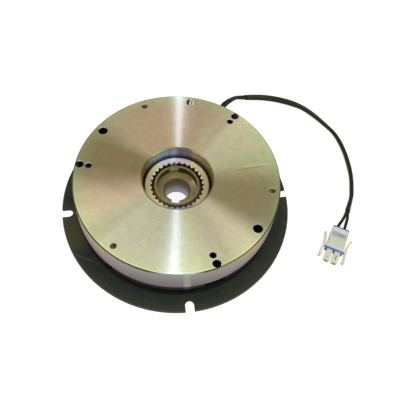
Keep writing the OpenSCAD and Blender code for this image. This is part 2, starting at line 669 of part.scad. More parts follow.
module wire_seal() color([0.2, 0.3, 0.72]) connector_frame() difference() {
    union() {
        drawn(-seal_collar_t, 0) rounded_rect(body_w - 0.6, body_h - 0.6, 1);
        drawn(-seal_collar_t, seal_pocket_l - seal_clearance)
            rounded_rect(seal_w - 2 * seal_clearance, seal_h - 2 * seal_clearance, 0.9);
    }
    drawn(-seal_collar_t - past, seal_pocket_l) contact_places() circle(d = wire_d + 0.1);
}

module front_seal() color([0.2, 0.36, 0.78]) connector_frame() difference() {
    drawn(body_l, body_l + front_seal_t) rounded_rect(body_w + 0.4, body_h - 0.4, 0.5);
    drawn(body_l - past, tower_tip) contact_places() square([tower_w + 0.1, tower_h + 0.1], center = true);
}

contact_l = tower_tip - 1 - seal_pocket_l;
module contact_sleeves() color([0.78, 0.72, 0.5]) connector_frame() difference() {
    union() {
        drawn(seal_pocket_l, seal_pocket_l + contact_l) contact_places() circle(d = contact_d);
        drawn(-seal_collar_t, seal_pocket_l) contact_places() circle(d = wire_d);
    }
    drawn(tower_tip - 9, tower_tip) contact_places() circle(d = contact_d - 0.8);
}

magnet_body();
coil_bobbin();
coil_winding();
coil_potting();
coil_tails();
lead_grommet();
compression_springs();
armature_plate();
spacer_sleeves();
flange_screws();
flange_plate();
earth_screw();
lining_upper();
lining_lower();
carrier_disc();
toothed_collar();
rotor_rivets();
drive_hub();
lead_wire_a();
lead_wire_b();
lead_sleeve();
connector_housing();
wire_seal();
front_seal();
contact_sleeves();
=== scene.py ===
"""Looks of the disc brake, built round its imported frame.

The flange stands on z = 0 and the shaft's axis is Z. Sizes and places are written in millimetres, and MM
turns them into metres. Directions are degrees round the shaft, counted from +X towards +Y.
"""

import json
import math

import bmesh
import bpy
from mathutils import Matrix, Vector

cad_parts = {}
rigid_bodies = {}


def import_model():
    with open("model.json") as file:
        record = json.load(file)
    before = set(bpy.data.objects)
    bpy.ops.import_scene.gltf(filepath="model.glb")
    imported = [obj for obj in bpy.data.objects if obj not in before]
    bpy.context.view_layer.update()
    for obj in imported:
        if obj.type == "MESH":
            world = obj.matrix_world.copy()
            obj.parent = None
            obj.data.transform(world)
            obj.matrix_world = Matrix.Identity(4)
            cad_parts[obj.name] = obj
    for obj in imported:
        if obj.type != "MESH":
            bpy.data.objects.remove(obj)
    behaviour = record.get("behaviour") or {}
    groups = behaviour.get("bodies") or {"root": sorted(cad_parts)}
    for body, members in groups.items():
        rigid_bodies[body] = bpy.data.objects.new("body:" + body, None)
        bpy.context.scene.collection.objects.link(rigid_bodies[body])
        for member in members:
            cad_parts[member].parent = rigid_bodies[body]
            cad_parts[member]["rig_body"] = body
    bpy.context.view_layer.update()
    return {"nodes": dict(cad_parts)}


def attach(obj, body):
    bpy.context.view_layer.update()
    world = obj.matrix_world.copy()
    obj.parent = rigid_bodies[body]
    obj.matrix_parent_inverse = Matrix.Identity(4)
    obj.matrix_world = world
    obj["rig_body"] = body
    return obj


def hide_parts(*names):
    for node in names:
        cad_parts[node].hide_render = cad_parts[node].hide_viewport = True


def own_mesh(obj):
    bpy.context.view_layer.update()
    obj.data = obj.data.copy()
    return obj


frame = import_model()

MM = 0.001
scene = bpy.context.scene

# the camera of the photograph
CAMERA_AT = Vector((-32.7, -217.9, 407.3))
CAMERA_RIGHT = Vector((0.9894, -0.1341, 0.0564))
CAMERA_UP = Vector((0.0905, 0.8711, 0.4828))
LENS = 49.68
SENSOR = 36.0

# the lead and its connector; inside the sleeve each wire lies SLEEVED from the lead's middle, and the
# sleeve covers the route from point SLEEVE_FROM to point SLEEVE_TO
WIRE_D = 2.5
SLEEVED = 1.28
SLEEVE_R = 1.67
SLEEVE_WALL = 0.3
SLEEVE_FROM, SLEEVE_TO = 6, 21
EXIT_WAY = 57.0
CONNECTOR_AT = Vector((131.7, -40.1, 3.2))
CONNECTOR_WAY = -121.3
CONTACT_OFFSET = 3.175

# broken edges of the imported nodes, and where a face stops being smooth
FLAT_WITHIN = 0.3
SHARP_FROM = 28.0
EDGE_STEPS = 2

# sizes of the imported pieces, by which their finishes find rims, walls and teeth; tooth radii are the collar's
BODY_R, BODY_TOP, BODY_UNDERSIDE = 80.0, 44.0, 19.0
BORE_R = 27.3
FLANGE_R = 93.5
HUB_TOP, RECESS_FLOOR, TOOTH_ENDS = 33.0, 25.0, 29.6
HUB_BORE_R, RECESS_R, SPIGOT_R = 10.0, 16.2, 18.3
COLLAR_TOP, TOOTH_TIP_R, TOOTH_ROOT_R = 33.0, 20.0, 21.3
EARTH_SCREW_AT, EARTH_SCREW_WAY = 74.1, 75.0

# floor and surroundings
FLOOR_HALF = 6000.0
FLOOR_GAP = 0.05
FLOOR_WHITE = 0.8
FLOOR_DIM = 0.3
FLOOR_GLOW = 0.84
SURROUNDINGS = (0.31, 0.3, 0.3, 1.0)
WHITE = (1.0, 1.0, 1.0)


def place_camera():
    """The photograph's own viewing place, above the front and a little to the left."""
    back = CAMERA_RIGHT.cross(CAMERA_UP).normalized()
    turn = Matrix((CAMERA_RIGHT.normalized(), back.cross(CAMERA_RIGHT).normalized(), back)).transposed()
    data = bpy.data.cameras.new("camera")
    data.lens = LENS
    data.sensor_width = SENSOR
    data.clip_start = 10 * MM
    camera = bpy.data.objects.new("camera", data)
    scene.collection.objects.link(camera)
    camera.matrix_world = Matrix.Translation(CAMERA_AT * MM) @ turn.to_4x4()
    scene.camera = camera


def level_way(degrees):
    """The level direction of that many degrees round the shaft."""
    return Vector((math.cos(math.radians(degrees)), math.sin(math.radians(degrees)), 0.0))


def lead_points():
    """The lead's route, chosen along the photo: x, y, z, each wire's distance from it, the roll."""
    start = [(*(level_way(EXIT_WAY) * r).xy, 28, 1.35, 0) for r in (81.5, 83.5, 86.0)]
    middle = [
        (50, 79, 27, SLEEVED, 0), (56.5, 86, 24, SLEEVED, -10), (64, 92.5, 19.5, SLEEVED, -25),
        (74, 96.5, 14, SLEEVED, -10), (87, 100, 8.5, SLEEVED, 0), (98, 101, 5, SLEEVED, 5),
        (108.5, 99.5, 3, SLEEVED, 5), (119.5, 95.5, 2, SLEEVED, 0), (129, 89, 2.2, SLEEVED, -22),
        (137, 80, 2.4, SLEEVED, -30), (144.5, 69, 2.6, SLEEVED, -42), (151, 57.5, 2.8, SLEEVED, -60),
        (154, 46.5, 3, SLEEVED, -72), (155.5, 34.5, 3, SLEEVED, -76), (155.5, 21, 3, SLEEVED, -80),
        (154.5, 10, 3, SLEEVED, -78), (152, -1, 3, SLEEVED, -82), (149, -10.5, 3, SLEEVED, -80),
        (142.5, -23, 2.8, SLEEVED, -55), (139, -29.5, 3, 1.6, -15)]
    back = CONNECTOR_AT - level_way(CONNECTOR_WAY) * 4.5
    near = CONNECTOR_AT - level_way(CONNECTOR_WAY) * 1.4
    return [Vector(p) for p in start + middle + [(*back, 2.6, 0), (*near, CONTACT_OFFSET, 0)]]


def smooth_route(points, first, last, steps=6):
    """Points of the even curve through points first to last, with their distances and rolls."""
    def at(i):
        return points[min(max(i, 0), len(points) - 1)]
    route = []
    for i in range(first, last):
        a, b, c, d = at(i - 1), at(i), at(i + 1), at(i + 2)
        for k in range(steps):
            t = k / steps
            route.append((2 * b + (c - a) * t + (2 * a - 5 * b + 4 * c - d) * t * t
                          + (3 * b - a - 3 * c + d) * t ** 3) / 2)
    return route + [at(last)]


def beside(route, side):
    """The line of one wire in metres; the pair is turned about the lead's middle by the roll."""
    line = []
    for i, point in enumerate(route):
        offset, roll = point[3], math.radians(point[4])
        way = Vector((route[min(i + 1, len(route) - 1)] - route[max(i - 1, 0)])[:3]).normalized()
        level = Vector((-way.y, way.x, 0.0)).normalized()
        across = level * math.cos(roll) + way.cross(level) * math.sin(roll)
        line.append((Vector(point[:3]) + across * (side * offset)) * MM)
    return line


def line_curve(name, line):
    """A curve of one open spline along a line of points in metres."""
    data = bpy.data.curves.new(name, "CURVE")
    data.dimensions = "3D"
    spline = data.splines.new("POLY")
    spline.points.add(len(line) - 1)
    for point, place in zip(spline.points, line):
        point.co = (*place, 1.0)
    curve = bpy.data.objects.new(name, data)
    scene.collection.objects.link(curve)
    return curve


def drawn_out(name, path, former=None):
    """The mesh of a curve with its section, as a piece; the curve and its former are used up."""
    bpy.context.view_layer.update()
    mesh = bpy.data.meshes.new_from_object(path.evaluated_get(bpy.context.evaluated_depsgraph_get()))
    mesh.name = name
    bpy.data.objects.remove(path)
    if former is not None:
        bpy.data.objects.remove(former)
    shape = bmesh.new()
    shape.from_mesh(mesh)
    bmesh.ops.remove_doubles(shape, verts=shape.verts, dist=1e-6)
    bmesh.ops.recalc_face_normals(shape, faces=shape.faces)
    shape.to_mesh(mesh)
    shape.free()
    mesh.shade_smooth()
    mesh.set_sharp_from_angle(angle=math.radians(50))
    piece = bpy.data.objects.new(name, mesh)
    scene.collection.objects.link(piece)
    return piece


def make_wire(name, side, node):
    """One wire of the lead, from the grommet to the connector, and the line that it follows."""
    points = lead_points()
    line = beside(smooth_route(points, 0, len(points) - 1), side)
    path = line_curve(name + "_path", line)
    path.data.bevel_depth = WIRE_D / 2 * MM
    path.data.bevel_resolution = 4
    path.data.use_fill_caps = True
    wire = drawn_out(name, path)
    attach(wire, "brake_body")
    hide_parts(node)
    return wire, line


def sleeve_section():
    """The sleeve's outline as a flat curve: two half rounds joined by flats."""
    section = bpy.data.curves.new("sleeve_section", "CURVE")
    outline = section.splines.new("POLY")
    outline.use_cyclic_u = True
    steps = 8
    places = []
    for side, first in ((1, -90), (-1, 90)):
        for k in range(steps + 1):
            turn = math.radians(180 * k / steps + first)
            places.append((side * SLEEVED + SLEEVE_R * math.cos(turn), SLEEVE_R * math.sin(turn)))
    outline.points.add(len(places) - 1)
    for point, (x, y) in zip(outline.points, places):
        point.co = (x * MM, y * MM, 0.0, 1.0)
    former = bpy.data.objects.new("sleeve_section", section)
    scene.collection.objects.link(former)
    return former


def make_sleeve():
    """Thin sleeving drawn over both wires, open at its ends."""
    route = smooth_route(lead_points(), SLEEVE_FROM, SLEEVE_TO)
    path = line_curve("sleeve_path", [Vector(point[:3]) * MM for point in route])
    path.data.twist_mode = "Z_UP"
    for spline_point, point in zip(path.data.splines[0].points, route):
        spline_point.tilt = math.radians(point[4])
    path.data.bevel_mode = "OBJECT"
    path.data.bevel_object = sleeve_section()
    sleeve = drawn_out("lead_sleeving", path, path.data.bevel_object)
    wall = sleeve.modifiers.new("wall", "SOLIDIFY")
    wall.thickness = SLEEVE_WALL * MM
    wall.offset = -1.0
    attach(sleeve, "brake_body")
    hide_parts("lead_sleeve")
    return sleeve


def finished_copy(node, edge):
    """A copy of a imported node: triangles merged to plain faces, edges broken, curved faces smooth."""
    shape = bmesh.new()
    shape.from_mesh(frame["nodes"][node].data)
    bmesh.ops.remove_doubles(shape, verts=shape.verts, dist=2e-6)
    bmesh.ops.dissolve_limit(shape, angle_limit=math.radians(FLAT_WITHIN), verts=shape.verts,
                             edges=shape.edges, use_dissolve_boundaries=False)
    mesh = bpy.data.meshes.new(node + "_finished")
    shape.to_mesh(mesh)
    shape.free()
    mesh.shade_smooth()
    mesh.set_sharp_from_angle(angle=math.radians(SHARP_FROM))
    piece = bpy.data.objects.new(node + "_finished", mesh)
    scene.collection.objects.link(piece)
    broken = piece.modifiers.new("broken_edges", "BEVEL")
    broken.width = edge * MM
    broken.segments = EDGE_STEPS
    broken.limit_method = "ANGLE"
    broken.angle_limit = math.radians(SHARP_FROM)
    broken.harden_normals = True
    broken.use_clamp_overlap = True
    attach(piece, frame["nodes"][node].get("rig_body"))
    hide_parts(node)
    return piece


def shade(red, green, blue):
    """A screen colour, 0 to 255, as the linear colour that renders to it."""
    def linear(v):
        v /= 255.0
        return v / 12.92 if v <= 0.04045 else ((v + 0.055) / 1.055) ** 2.4
    return (linear(red), linear(green), linear(blue), 1.0)


class Finish:
    """One finish being made: a shader with short ways to add what varies over the surface.

    A mask is a value that is 1 where something holds and 0 where it doesn't. Noise is counted in
    features per metre, and its detail in octaves.
    """

    # a Mix node's sockets where it mixes colours; its share is socket 0
    COLOUR_A, COLOUR_B, COLOUR_OUT = 6, 7, 2

    def __init__(self, name, **shader):
        self.material = bpy.data.materials.new(name)
        self.material.use_nodes = True
        self.nodes = self.material.node_tree.nodes
        self.links = self.material.node_tree.links
        self.nodes.clear()
        self.shader = self.nodes.new("ShaderNodeBsdfPrincipled")
        output = self.nodes.new("ShaderNodeOutputMaterial")
        self.links.new(self.shader.outputs["BSDF"], output.inputs["Surface"])
        for setting, value in shader.items():
            self.put(self.shader, setting.replace("_", " ").title().replace("Ior", "IOR"), value)
        coordinates = self.nodes.new("ShaderNodeTexCoord")
        self.place = coordinates.outputs["Object"]
        self.normal = self.axes(coordinates.outputs["Normal"])
        self.flat = self.vector("MULTIPLY", self.place, (1.0, 1.0, 0.0))
        self.across, _, self.height = self.axes(self.place)
        self.radius = self.vector("LENGTH", self.flat)

    def put(self, node, socket, value):
        """Sets a socket to a number or a colour, or links it to what another node gives."""
        if isinstance(value, bpy.types.NodeSocket):
            self.links.new(value, node.inputs[socket])
        else:
            node.inputs[socket].default_value = value

    def math(self, operation, a, b=0.0, clamp=False):
        node = self.nodes.new("ShaderNodeMath")
        node.operation = operation
        node.use_clamp = clamp
        self.put(node, 0, a)
        self.put(node, 1, b)
        return node.outputs[0]

    def vector(self, operation, a, b=None, scale=None):
        node = self.nodes.new("ShaderNodeVectorMath")
        node.operation = operation
        self.put(node, 0, a)
        if b is not None:
            self.put(node, 1, b)
        if scale is not None:
            self.put(node, "Scale", scale)
        return node.outputs["Value" if operation in ("DOT_PRODUCT", "LENGTH") else "Vector"]

    def axes(self, vector):
        node = self.nodes.new("ShaderNodeSeparateXYZ")
        self.put(node, 0, vector)
        return tuple(node.outputs)

    def stretched(self, scale):
        """The place with its axes scaled, for patterns that are longer one way."""
        node = self.nodes.new("ShaderNodeMapping")
        self.put(node, "Vector", self.place)
        node.inputs["Scale"].default_value = scale
        return node.outputs[0]

    def noise(self, per_metre, detail=2.0, place=None, rough=0.5, swirl=0.0):
        node = self.nodes.new("ShaderNodeTexNoise")
        self.put(node, "Vector", self.place if place is None else place)
        node.inputs["Scale"].default_value = per_metre
        node.inputs["Detail"].default_value = detail
        node.inputs["Roughness"].default_value = rough
        node.inputs["Distortion"].default_value = swirl
        return node.outputs["Fac"]

    def spots(self, per_metre):
        """Distance to the nearest of many scattered points, in cells."""
        node = self.nodes.new("ShaderNodeTexVoronoi")
        self.put(node, "Vector", self.place)
        node.inputs["Scale"].default_value = per_metre
        return node.outputs["Distance"]

    def rings(self, per_metre, detail=3.0):
        """Uneven rings round the shaft's axis, as a lathe tool leaves them; 0 to 1."""
        spread = self.nodes.new("ShaderNodeCombineXYZ")
        self.put(spread, 0, self.radius)
        self.put(spread, 1, self.height)
        return self.noise(per_metre, detail, place=spread.outputs[0], rough=0.7)

    def between(self, value, low, high, to_low=0.0, to_high=1.0, smooth=False):
        """A value led from low to high over to to_low and to_high; low may be the larger one."""
        node = self.nodes.new("ShaderNodeMapRange")
        node.interpolation_type = "SMOOTHSTEP" if smooth else "LINEAR"
        self.put(node, "Value", value)
        limits = {"From Min": low, "From Max": high, "To Min": to_low, "To Max": to_high}
        for socket, number in limits.items():
            node.inputs[socket].default_value = number
        return node.outputs["Result"]

    def by_radius(self, low, high, to_low=0.0, to_high=1.0, smooth=False):
        """between() over the distance from the shaft's axis, in millimetres."""
        return self.between(self.radius, low * MM, high * MM, to_low, to_high, smooth)

    def by_height(self, low, high, to_low=0.0, to_high=1.0, smooth=False):
        """between() over the height above the floor, in millimetres."""
        return self.between(self.height, low * MM, high * MM, to_low, to_high, smooth)

    def mixed(self, share, a, b):
        """Colour a, with that share of colour b."""
        node = self.nodes.new("ShaderNodeMix")
        node.data_type = "RGBA"
        self.put(node, 0, share)
        self.put(node, self.COLOUR_A, a)
        self.put(node, self.COLOUR_B, b)
        return node.outputs[self.COLOUR_OUT]

    def where_all(self, first, *others):
        """The masks multiplied; a number among them makes the whole weaker."""
        for mask in others:
            first = self.math("MULTIPLY", first, mask)
        return first

    def where_any(self, a, b):
        """The larger of two masks."""
        return self.math("MAXIMUM", a, b)

    def colour(self, value):
        self.put(self.shader, "Base Color", value)

    def roughness(self, value):
        self.put(self.shader, "Roughness", value)

    def painted_glint(self, mask):
        """Almost no metal under the mask, so that its pale colour shows from any side as a painted highlight.
        """
        self.put(self.shader, "Metallic", self.between(mask, 0.0, 1.0, 1.0, 0.1))

    def bump(self, height, depth):
        """Small relief; depth is the height of a full step in metres."""
        node = self.nodes.new("ShaderNodeBump")
        node.inputs["Distance"].default_value = depth
        node.inputs["Strength"].default_value = 1.0
        self.put(node, "Height", height)
        self.put(self.shader, "Normal", node.outputs[0])

    def around(self):
        """The direction outwards from the shaft's axis, the same all along a radius."""
        return self.vector("NORMALIZE", self.flat)

    def sector(self, middle, half, soft, stray=0.0):
        """Mask: within half degrees of a direction round the shaft, fading over the soft ones."""
        off = self.math("ARCCOSINE", self.vector("DOT_PRODUCT", self.around(), tuple(level_way(middle))))
        off = self.math("ADD", off, stray)
        return self.between(off, math.radians(half), math.radians(half + soft), 1.0, 0.0, smooth=True)

    def facing_up(self):
        """Mask: level faces that look up."""
        return self.between(self.normal[2], 0.35, 0.9, smooth=True)

    def level(self):
        """Mask: level faces that look up or down."""
        return self.between(self.math("ABSOLUTE", self.normal[2]), 0.35, 0.9, smooth=True)

    def facing_front(self):
        """Mask: walls of holes that look forwards, -Y."""
        return self.between(self.normal[1], -0.3, -0.6, smooth=True)

    def scratch(self, start, end, width):
        """Mask: along a straight scratch between two points, seen from above."""
        a, b = Vector((*start, 0.0)) * MM, Vector((*end, 0.0)) * MM
        way = b - a
        along = self.vector("SUBTRACT", self.flat, tuple(a))
        share = self.vector("DOT_PRODUCT", along, tuple(way))
        share = self.math("DIVIDE", share, way.length_squared, clamp=True)
        nearest = self.vector("SCALE", tuple(way), scale=share)
        off = self.vector("LENGTH", self.vector("SUBTRACT", along, nearest))
        return self.between(off, 0.0, width * MM, 1.0, 0.0, smooth=True)

    def turned(self):
        """Turns the gloss across the lathe marks: outwards on a face, along the axis on a rim."""
        turn = self.nodes.new("ShaderNodeVectorTransform")
        turn.vector_type = "VECTOR"
        turn.convert_from, turn.convert_to = "OBJECT", "WORLD"
        self.put(turn, 0, self.vector("CROSS_PRODUCT", (0.0, 0.0, 1.0), self.place))
        facing = self.nodes.new("ShaderNodeNewGeometry").outputs["Normal"]
        across = self.vector("CROSS_PRODUCT", facing, turn.outputs[0])
        self.put(self.shader, "Tangent", self.vector("NORMALIZE", across))


def dress(piece, finish):
    """Gives a piece its one material."""
    piece.data.materials.clear()
    piece.data.materials.append(finish.material)


# sectors of the magnet body's face, partly the zinc's own tint and partly painted reflection, light and dark:
# direction, half width, soft edge, share, colour
FACE_TINTS_AND_REFLECTIONS = (
    (0, 6, 12, 0.7, (226, 238, 168)),
    (90, 32, 24, 0.85, (250, 210, 162)),
    (158, 10, 19, 0.9, (218, 192, 114)),
    (187, 8, 12, 0.8, (252, 214, 174)),
    (338, 10, 20, 0.85, (232, 212, 142)),
    (302, 4, 12, 0.4, (246, 224, 190)),
    (230, 14, 16, 0.6, (232, 236, 204)),
    (277, 8, 10, 0.5, (226, 236, 176)),
)


def zinc_face(f):
    """The turned face: khaki with pink and brown sectors that are partly the zinc's tint and partly painted
    reflection, a painted highlight ray near the bore, greener to the rim, streaked and mottled.
    """
    stray = f.between(f.noise(24.0, 3.0, swirl=0.8), 0.3, 0.7, -0.12, 0.12)
    face = f.mixed(f.between(f.noise(16.0, 2.0), 0.35, 0.65), shade(238, 236, 190), shade(240, 230, 196))
    for middle, half, soft, share, colour in FACE_TINTS_AND_REFLECTIONS:
        face = f.mixed(f.where_all(f.sector(middle, half, soft, stray), share), face, shade(*colour))
    outer = f.where_all(f.by_radius(BODY_R - 16, BODY_R - 1, smooth=True), 0.7)
    face = f.mixed(outer, face, shade(230, 246, 178))
    streaks = f.noise(26.0, 4.0, place=f.around(), rough=0.8)
    face = f.mixed(f.between(streaks, 0.3, 0.7, 0.0, 0.3), face, shade(254, 248, 208))
    # a painted highlight: a bright radial ray near the bore
    highlight_ray = f.where_all(f.sector(55, 2, 6), f.by_radius(30, 38, smooth=True), 0.4)
    face = f.mixed(highlight_ray, face, shade(252, 248, 196))
    mottled = f.noise(240.0, 5.0, rough=0.72)
    face = f.mixed(f.between(mottled, 0.42, 0.7, 0.0, 0.34), face, shade(212, 188, 142))
    face = f.mixed(f.between(mottled, 0.5, 0.3, 0.0, 0.25), face, shade(236, 250, 196))
    rings = f.between(f.rings(900.0, 2.0), 0.3, 0.7, 0.12, 0.0)
    return f.mixed(rings, face, shade(200, 190, 140))


def zinc_rim(f):
    """The outside wall: greenish grey at half height, pinkish below, warmer at the left and the right."""
    half_way = f.by_height(BODY_TOP - 7, BODY_TOP - 11, smooth=True)
    rim = f.mixed(half_way, shade(158, 149, 142), shade(147, 149, 140))
    low = f.by_height(BODY_UNDERSIDE + 10, BODY_UNDERSIDE + 5, smooth=True)
    rim = f.mixed(low, rim, shade(162, 147, 148))
    rim = f.mixed(f.between(f.noise(20.0, 3.0), 0.4, 0.7, 0.0, 0.4), rim, shade(160, 144, 152))
    sides = f.where_all(f.where_any(f.sector(210, 8, 14), f.sector(318, 8, 14)), 0.8)
    return f.mixed(sides, rim, shade(176, 152, 138))


def zinc_bore(f):
    """The bore's wall: blue-grey in the middle, brown at both sides, with a painted lavender highlight and a
    painted pale glint at the back.
    """
    bore = f.mixed(f.between(f.across, 0.0, 20 * MM, smooth=True), shade(126, 142, 142), shade(142, 118, 98))
    # painted highlights: a lavender one and a pale glint at the back
    bore = f.mixed(f.where_all(f.sector(94, 12, 22), 0.6), bore, shade(148, 150, 168))
    bore = f.mixed(f.where_all(f.sector(88, 2, 5), 0.5), bore, shade(196, 198, 210))
    return f.mixed(f.between(f.across, -20 * MM, -25 * MM, smooth=True), bore, shade(150, 126, 96))


def zinc_edges(f, base):
    """Painted highlights as bright lines just inside the face's edge, the broken edge painted as a dark
    reflection with a painted cyan highlight at the front, and the bore's green mouth.
    """
    # painted highlights: a bright line just inside the face's edge at the front, a yellower one at the back
    line = f.where_all(f.by_radius(BODY_R - 2.4, BODY_R - 1.7), f.by_radius(BODY_R - 0.8, BODY_R - 1.0))
    front = f.where_all(line, f.sector(270, 120, 30))
    base = f.mixed(f.where_all(front, f.facing_up()), base, shade(244, 252, 186))
    line = f.by_radius(BODY_R - 1.9, BODY_R - 1.3)
    back = f.where_all(line, f.sector(90, 70, 30), f.facing_up(), 0.7)
    base = f.mixed(back, base, shade(232, 238, 140))
    # the broken edge painted as a dark reflection, with a painted cyan highlight where the front glint crosses
    # it
    broken = f.where_all(f.by_radius(BODY_R - 1.0, BODY_R - 0.8), f.by_height(BODY_TOP - 0.9, BODY_TOP - 0.7))
    base = f.mixed(broken, base, f.mixed(f.sector(263, 7, 9), shade(84, 80, 36), shade(176, 212, 216)))
    mouth = f.where_all(f.by_radius(BORE_R + 1.3, BORE_R + 0.7), f.by_height(BODY_TOP - 0.7, BODY_TOP - 0.4))
    return f.mixed(mouth, base, shade(150, 150, 92))


def zinc_scratch_and_streak(f, base):
    """The long scratch at the right of the face, with a pale streak beside it."""
    pale_streak = f.where_all(f.scratch((54, 4.9), (74.5, 5.3), 1.9), 0.65)
    base = f.mixed(pale_streak, base, shade(255, 255, 200))
    scratch = f.where_all(f.scratch((45.3, 1.9), (67.8, 3.4), 0.55), 0.5)
    return f.mixed(scratch, base, shade(96, 88, 50))


def zinc_turned():
    """Magnet body: turned steel under yellow zinc, the walls of its holes painted near black as shade, with
    painted highlights on their far lips.
    """
    f = Finish("zinc_turned", metallic=1.0, anisotropic=1.0)
    walls = f.mixed(f.by_radius(28, 50), zinc_bore(f), zinc_rim(f))
    base = f.mixed(f.facing_up(), walls, zinc_face(f))
    base = zinc_scratch_and_streak(f, zinc_edges(f, base))
    outside_bore = f.by_radius(BORE_R + 1.7, BORE_R + 2.2)
    below_face = f.by_height(BODY_TOP - 0.8, BODY_TOP - 1.4)
    above_underside = f.by_height(BODY_UNDERSIDE + 0.1, BODY_UNDERSIDE + 0.5)
    inside_rim = f.by_radius(BODY_R - 0.8, BODY_R - 1.3)
    holes = f.where_all(below_face, above_underside, outside_bore, inside_rim)
    # painted shade: the walls of the holes, below the face, near black
    base = f.mixed(holes, base, shade(14, 14, 15))
    # painted highlights on the lips of the holes' far walls, which look forwards
    mouths = f.by_height(BODY_TOP - 1.4, BODY_TOP - 1.1)
    lip = f.where_all(mouths, outside_bore, f.by_radius(BODY_R - 1.5, BODY_R - 1.8), f.facing_front())
    f.colour(f.mixed(lip, base, shade(250, 250, 255)))
    f.painted_glint(lip)
    f.roughness(f.between(holes, 0.0, 1.0, 0.278, 0.5))
    f.bump(f.rings(1800.0, 2.0), 0.02e-6)
    f.turned()
    return f


# scratches of the flange plate: start, end, width, share
FLANGE_SCRATCHES = (
    ((-84, -37.7), (-70.3, -44.9), 0.3, 0.6),
    ((-62, -63), (-58, -70), 0.5, 0.15),
    ((84, -26), (90, -32), 0.3, 0.35),
    ((-50, -74), (-38, -80), 0.25, 0.15),
)


def flange_black():
    """Sheet steel, finished green-black: brown in patches, paler to the rim, with pale rub streaks and
    scratches, a painted highlight along its edge, a painted shadow under the magnet body and painted shade on
    its walls.
    """
    f = Finish("flange_black", specular_ior_level=0.22)
    clouds = f.noise(38.0, 5.0, rough=0.62)
    base = f.mixed(f.between(clouds, 0.46, 0.7, smooth=True), shade(26, 35, 25), shade(46, 45, 26))
    base = f.mixed(f.by_radius(FLANGE_R - 7.5, FLANGE_R, 0.0, 0.45, smooth=True), base, shade(52, 59, 42))
    left = f.where_all(f.sector(189, 7, 12), 0.6)
    base = f.mixed(left, base, shade(82, 74, 40))
    grain = f.noise(900.0, 3.0)
    base = f.mixed(f.between(grain, 0.5, 0.75, 0.0, 0.5), base, shade(58, 68, 48))
    for start, end, width, share in FLANGE_SCRATCHES:
        base = f.mixed(f.where_all(f.scratch(start, end, width), share), base, shade(134, 116, 78))
    pale_streak = f.between(f.noise(120.0, 4.0, place=f.stretched((1.0, 6.0, 1.0)), rough=0.7), 0.64, 0.72)
    base = f.mixed(f.where_all(pale_streak, 0.25), base, shade(96, 86, 60))
    # a painted highlight: a thin brown-yellow line along the outer edge
    base = f.mixed(f.by_radius(FLANGE_R - 0.9, FLANGE_R - 0.5, 0.0, 0.6), base, shade(88, 82, 44))
    # a painted shadow under the magnet body's overhang
    under_body_shade = f.where_all(f.by_radius(BODY_R + 0.2, BODY_R - 0.8, smooth=True), f.facing_up())
    base = f.mixed(under_body_shade, base, shade(9, 12, 10))
    # painted shade: the walls, slots included, near black
    f.colour(f.mixed(f.level(), shade(5, 6, 5), base))
    f.roughness(f.between(clouds, 0.3, 0.7, 0.5, 0.64))
    f.bump(grain, 1.5e-5)
    return f


def plain_metal(name, colour, dark, rough):
    """Machined metal with a fine uneven grain."""
    f = Finish(name, metallic=1.0)
    marks = f.noise(900.0, 3.0)
    f.colour(f.mixed(f.between(marks, 0.3, 0.75), colour, dark))
    f.roughness(f.between(f.noise(300.0, 2.0), 0.3, 0.7, rough - 0.06, rough + 0.06))
    f.bump(marks, 6e-6)
    return f


def turned_metal(name, colour, dark, rough):
    """Metal with lathe marks round the shaft's axis."""
    f = Finish(name, metallic=1.0, anisotropic=0.5)
    marks = f.rings(2200.0)
    f.colour(f.mixed(f.between(marks, 0.25, 0.8), colour, dark))
    f.roughness(f.between(f.noise(300.0, 2.0), 0.3, 0.7, rough - 0.04, rough + 0.04))
    f.bump(marks, 8e-6)
    f.turned()
    return f


def rubber(name, colour, light, rough=0.5, gloss=0.4):
    """Rubber or soft insulation, dull, with a fine uneven grain."""
    f = Finish(name, specular_ior_level=gloss)
    marks = f.noise(1200.0, 3.0)
    f.colour(f.mixed(f.between(marks, 0.4, 0.8), colour, light))
    f.roughness(f.between(f.noise(400.0, 2.0), 0.3, 0.7, rough - 0.08, rough + 0.08))
    f.bump(marks, 1.2e-5)
    return f


